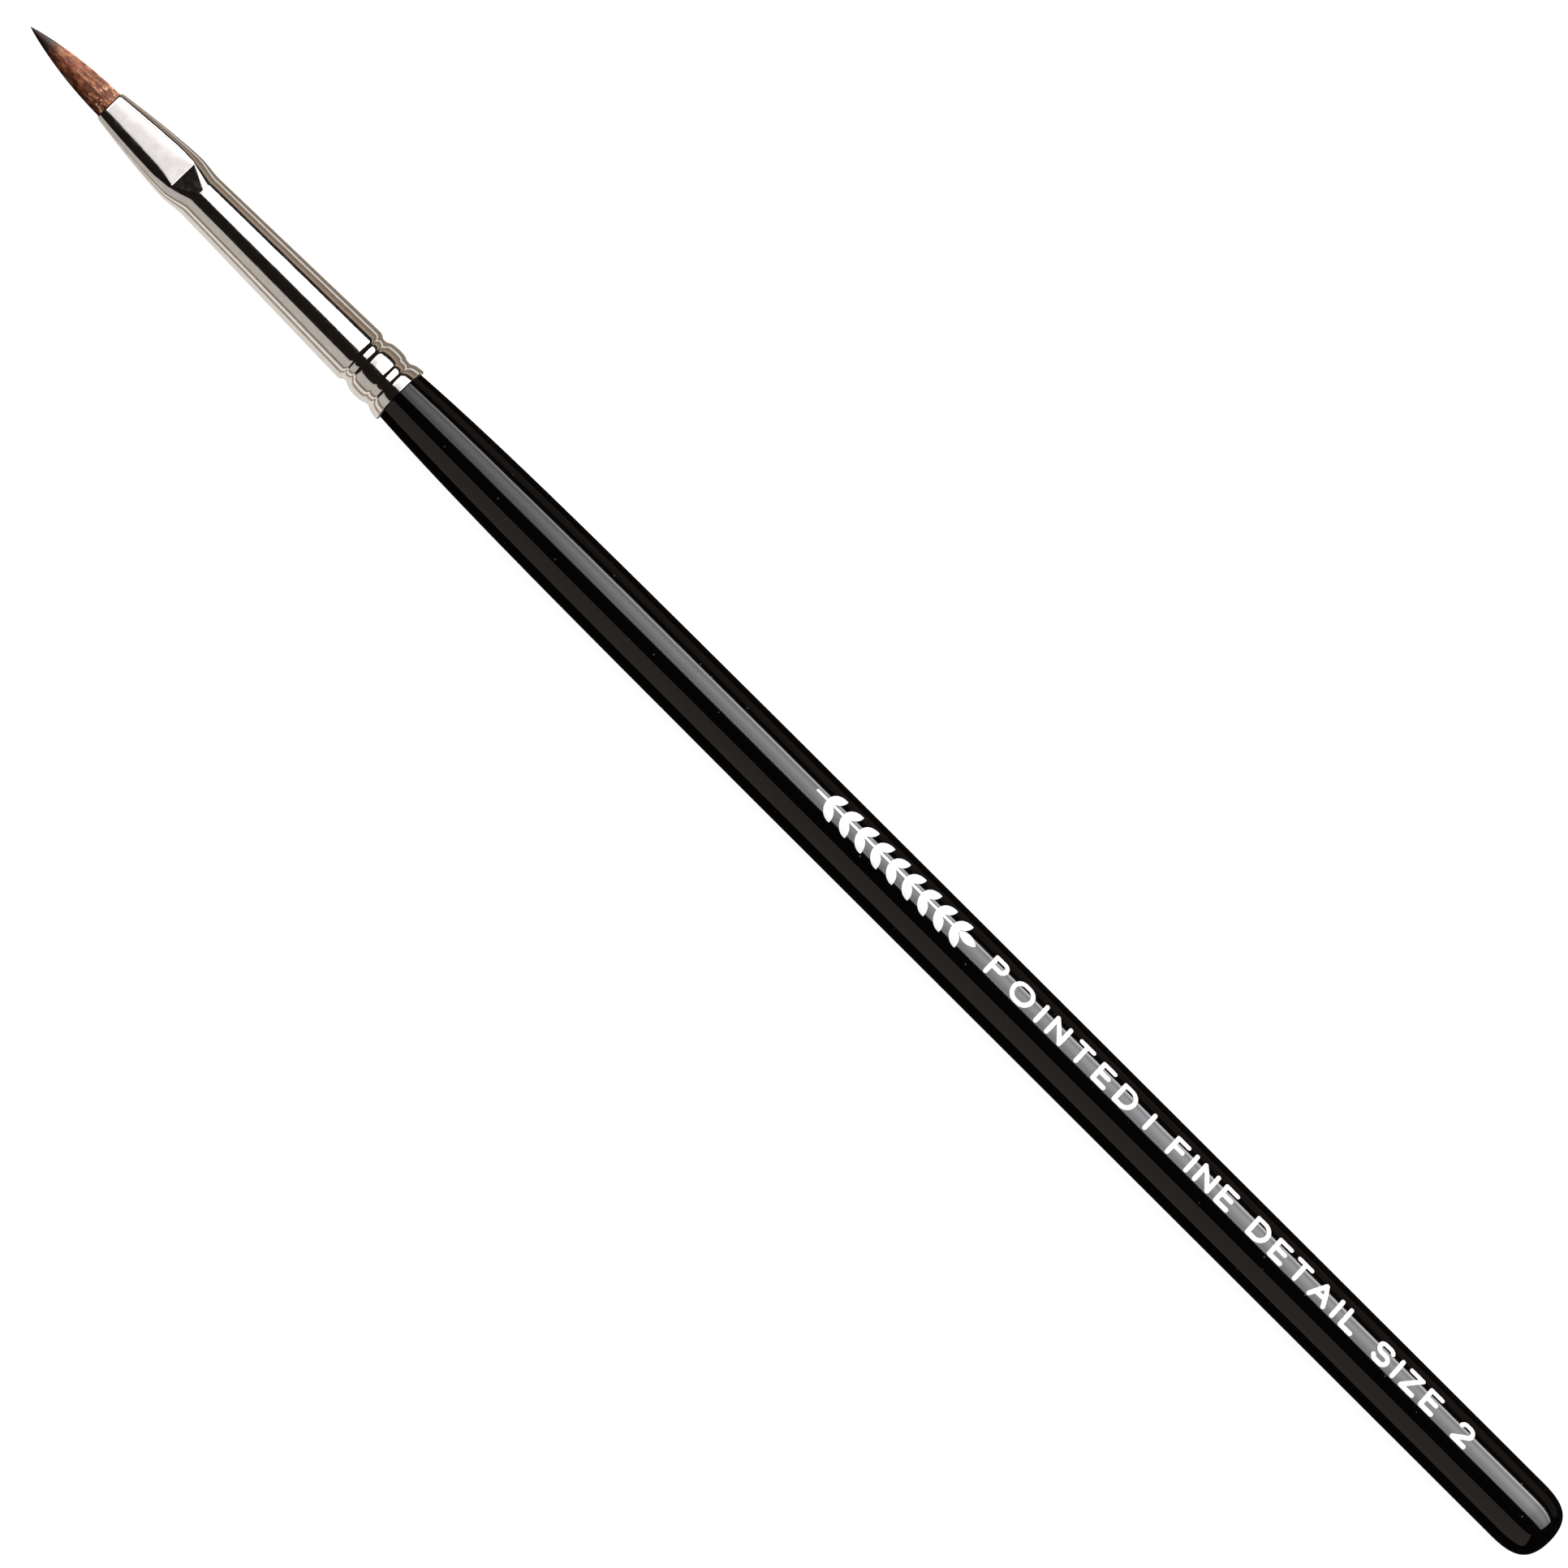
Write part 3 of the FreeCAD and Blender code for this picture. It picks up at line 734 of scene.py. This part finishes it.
def make_floor():
    """A broad pale table, lit a little from within so that it stays even."""
    mesh = bpy.data.meshes.new("table")
    corners = [(TABLE_HALF * x, TABLE_HALF * y, 0) for x, y in ((-1, -1), (1, -1), (1, 1), (-1, 1))]
    mesh.from_pydata(corners, [], [(0, 1, 2, 3)])
    floor = bpy.data.objects.new("table", mesh)
    bpy.context.scene.collection.objects.link(floor)
    n = Nodes("table_white")
    grain = n.noise(n.place(), 0.4, 3.0)
    tint = n.ramp(grain, [(0.3, (0.29, 0.29, 0.29)), (0.7, (0.31, 0.31, 0.31))])
    n.set(Base_Color=tint, Roughness=0.9, Specular_IOR_Level=0.0)
    n.set(Emission_Color=(1.0, 1.0, 1.0), Emission_Strength=TABLE_GLOW)
    mesh.materials.append(n.material)
    floor.visible_glossy = False
    floor.visible_diffuse = False


def picture_axes():
    """Unit vectors from the brush to the camera, and along and across the brush as the camera sees it."""
    lean = math.radians(CAMERA_LEAN)
    back = Vector((0, -math.sin(lean), math.cos(lean)))
    along = Vector((1, 0, 0))
    across = back.cross(along)
    return back, along, across


def make_camera():
    back, along, across = picture_axes()
    roll = math.radians(CAMERA_ROLL)
    right = along * math.cos(roll) + across * math.sin(roll)
    up = across * math.cos(roll) - along * math.sin(roll)
    width = LENGTH * MM / BRUSH_SHARE
    middle = Vector((TIP_X + LENGTH * MM / 2, 0, AXIS_Z))
    aim = middle - right * PICTURE_SHIFT[0] * width - up * PICTURE_SHIFT[1] * width
    data = bpy.data.cameras.new("camera")
    data.lens = LENS
    data.sensor_width = SENSOR
    data.clip_start, data.clip_end = 0.01, 20.0
    camera = bpy.data.objects.new("camera", data)
    turn = Matrix((right, up, back)).transposed()
    camera.matrix_world = Matrix.Translation(aim + back * width * LENS / SENSOR) @ turn.to_4x4()
    bpy.context.scene.collection.objects.link(camera)
    bpy.context.scene.camera = camera


def make_panel(name, angles, reach, brightness, color, lit=None, along=None, across=None):
    """A soft panel beside the brush, between two angles round it and two distances along it.

    lit limits it to some pieces. along and across are optional fall-offs over its length and width.
    """
    back, side_on, up_from_side = picture_axes()
    middle, half = math.radians(sum(angles) / 2), math.radians(angles[1] - angles[0]) / 2
    direction = back * math.cos(middle) + up_from_side * math.sin(middle)
    data = bpy.data.lights.new(name, "AREA")
    data.shape = "RECTANGLE"
    data.size = reach[1] - reach[0]
    data.size_y = 2 * PANEL_DISTANCE * math.tan(half)
    data.energy = brightness * math.pi * data.size * data.size_y
    data.color = color
    light = bpy.data.objects.new(name, data)
    sideways = direction.cross(side_on)
    turn = Matrix((side_on, sideways, direction)).transposed()
    place = Vector((sum(reach) / 2, 0, AXIS_Z)) + direction * PANEL_DISTANCE
    light.matrix_world = Matrix.Translation(place) @ turn.to_4x4()
    bpy.context.scene.collection.objects.link(light)
    if lit:
        light.light_linking.receiver_collection = lit
    if along:
        shade_panel(data, along, across)


def shade_panel(data, along, across):
    """Fall-offs as (share, brightness) stops over a panel's length and width."""
    data.use_nodes = True
    tree = data.node_tree
    shape = tree.nodes.new("ShaderNodeNewGeometry")
    split = tree.nodes.new("ShaderNodeSeparateXYZ")
    tree.links.new(shape.outputs["Parametric"], split.inputs["Vector"])
    both = tree.nodes.new("ShaderNodeMath")
    both.operation = "MULTIPLY"
    for axis, (socket, stops) in enumerate((("X", along), ("Y", across))):
        ramp = tree.nodes.new("ShaderNodeValToRGB")
        elements = ramp.color_ramp.elements
        while len(elements) < len(stops):
            elements.new(0.5)
        for element, (position, value) in zip(elements, stops):
            element.position = position
            element.color = (value, value, value, 1)
        tree.links.new(split.outputs[socket], ramp.inputs["Fac"])
        tree.links.new(ramp.outputs["Color"], both.inputs[axis])
    emission = next(node for node in tree.nodes if node.type == "EMISSION")
    tree.links.new(both.outputs["Value"], emission.inputs["Strength"])


def make_world():
    """A dark room in reflections and a dim one for soft light; the camera sees it white."""
    world = bpy.data.worlds.new("studio")
    world.use_nodes = True
    bpy.context.scene.world = world
    nodes, links = world.node_tree.nodes, world.node_tree.links
    path = nodes.new("ShaderNodeLightPath")
    color = None
    for ray, seen in (("Is Glossy Ray", ROOM_IN_REFLECTIONS), ("Is Camera Ray", ROOM_SEEN)):
        mix = nodes.new("ShaderNodeMix")
        mix.data_type = "RGBA"
        links.new(path.outputs[ray], mix.inputs[0])
        mix.inputs[6].default_value = (*ROOM_LIGHT, 1)
        mix.inputs[7].default_value = (*seen, 1)
        if color:
            links.new(color, mix.inputs[6])
        color = mix.outputs[2]
    links.new(color, nodes["Background"].inputs["Color"])


def receivers(name, pieces):
    """Pieces that a panel lights on its own."""
    group = bpy.data.collections.new(name)
    for piece in pieces:
        group.objects.link(piece)
    return group


def make_studio(metal, paint, hair_pieces):
    make_floor()
    make_camera()
    make_world()
    metal_only, paint_only = receivers("metal", [metal]), receivers("paint", [paint])
    make_panel("hair_edge", *HAIR_PANEL, receivers("hair", hair_pieces))
    front, end = KEY_FRONT_SHARE * KEY_BRIGHTNESS, KEY_END_SHARE * KEY_BRIGHTNESS
    make_panel("key", KEY_ANGLES, KEY_REACH, KEY_BRIGHTNESS, KEY_COLOR, None, KEY_ALONG, KEY_ACROSS)
    make_panel("key_front", KEY_ANGLES, KEY_FRONT_REACH, front, KEY_COLOR, metal_only)
    make_panel("key_end", KEY_ANGLES, KEY_END_REACH, end, KEY_COLOR, paint_only,
               KEY_END_ALONG, KEY_ACROSS)
    for group, strips in ((metal_only, METAL_STRIPS), (paint_only, PAINT_STRIPS)):
        for first, last, brightness, color in strips:
            make_panel(f"{group.name}_strip", (first, last), STRIP_REACH, brightness, color, group)
    bpy.context.scene.view_settings.view_transform = "Standard"


# ---------------------------------------------------------------- the whole brush

def finish_carried_nodes(hair_material):
    """Materials for the CAD nodes that stay: the print and everything inside."""
    finishes = {
        "handle_core": bare_wood(),
        "handle_print": foil(),
        "tenon_glue": resin("tenon_glue", (0.75, 0.62, 0.38), (0.58, 0.42, 0.20), 0.35),
        "root_cement": resin("root_cement", (0.62, 0.42, 0.18), (0.36, 0.20, 0.07), 0.15),
        "hair_root_bundle": hair_material,
        "binding_thread": thread(),
    }
    for name, material in finishes.items():
        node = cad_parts[name]
        node.data.materials.clear()
        node.data.materials.append(material)


hair_material = hair()
ferrule_tube = make_ferrule(nickel())
handle_coat = make_coat(lacquer())
tuft_pieces = make_tuft(hair_material)
finish_carried_nodes(hair_material)
make_studio(ferrule_tube, handle_coat, tuft_pieces)
